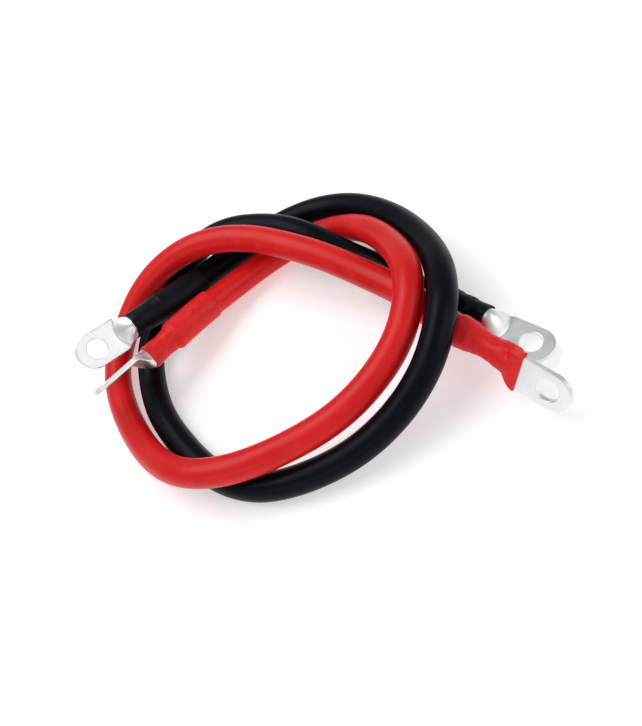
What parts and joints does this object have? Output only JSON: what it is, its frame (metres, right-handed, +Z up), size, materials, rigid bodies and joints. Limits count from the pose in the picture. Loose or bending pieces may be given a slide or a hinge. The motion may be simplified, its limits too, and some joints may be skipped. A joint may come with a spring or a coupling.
{
  "type": "battery lead pair",
  "caption": "Pair of flexible red and black battery leads with ring lugs and heat-shrink sleeves, laid in a loose knotted loop.",
  "frame": {"origin": "below the middle of the bounding box, on the surface that the loop lies on", "axes": "+X along the loop's longest extent, from the two left-hand lugs to the two right-hand lugs; +Y across the loop, towards the side where the leads cross; +Z up, out of the loop's plane"},
  "size_m": [0.1886, 0.1388, 0.0329],
  "materials": {
    "red_jacket_pvc": "satin red cable jacket",
    "black_jacket_pvc": "satin black cable jacket",
    "red_shrink_sleeve": "semi-matt red heat-shrink tubing",
    "black_shrink_sleeve": "semi-matt black heat-shrink tubing",
    "tin_plate": "satin tin plating on copper",
    "bare_copper": "drawn bare copper wire"
  },
  "bodies": {
    "root": {"red_jacket": "red_jacket_pvc", "red_wire_bunch_core": "bare_copper", "red_wire_bunch_1": "bare_copper", "red_wire_bunch_2": "bare_copper", "red_wire_bunch_3": "bare_copper", "red_wire_bunch_4": "bare_copper", "red_wire_bunch_5": "bare_copper", "red_wire_bunch_6": "bare_copper", "red_left_ring_lug": "tin_plate", "red_left_shrink_sleeve": "red_shrink_sleeve", "red_right_ring_lug": "tin_plate", "red_right_shrink_sleeve": "red_shrink_sleeve", "black_jacket": "black_jacket_pvc", "black_wire_bunch_core": "bare_copper", "black_wire_bunch_1": "bare_copper", "black_wire_bunch_2": "bare_copper", "black_wire_bunch_3": "bare_copper", "black_wire_bunch_4": "bare_copper", "black_wire_bunch_5": "bare_copper", "black_wire_bunch_6": "bare_copper", "black_left_ring_lug": "tin_plate", "black_left_shrink_sleeve": "black_shrink_sleeve", "black_right_ring_lug": "tin_plate", "black_right_shrink_sleeve": "black_shrink_sleeve"}
  },
  "joints": []
}
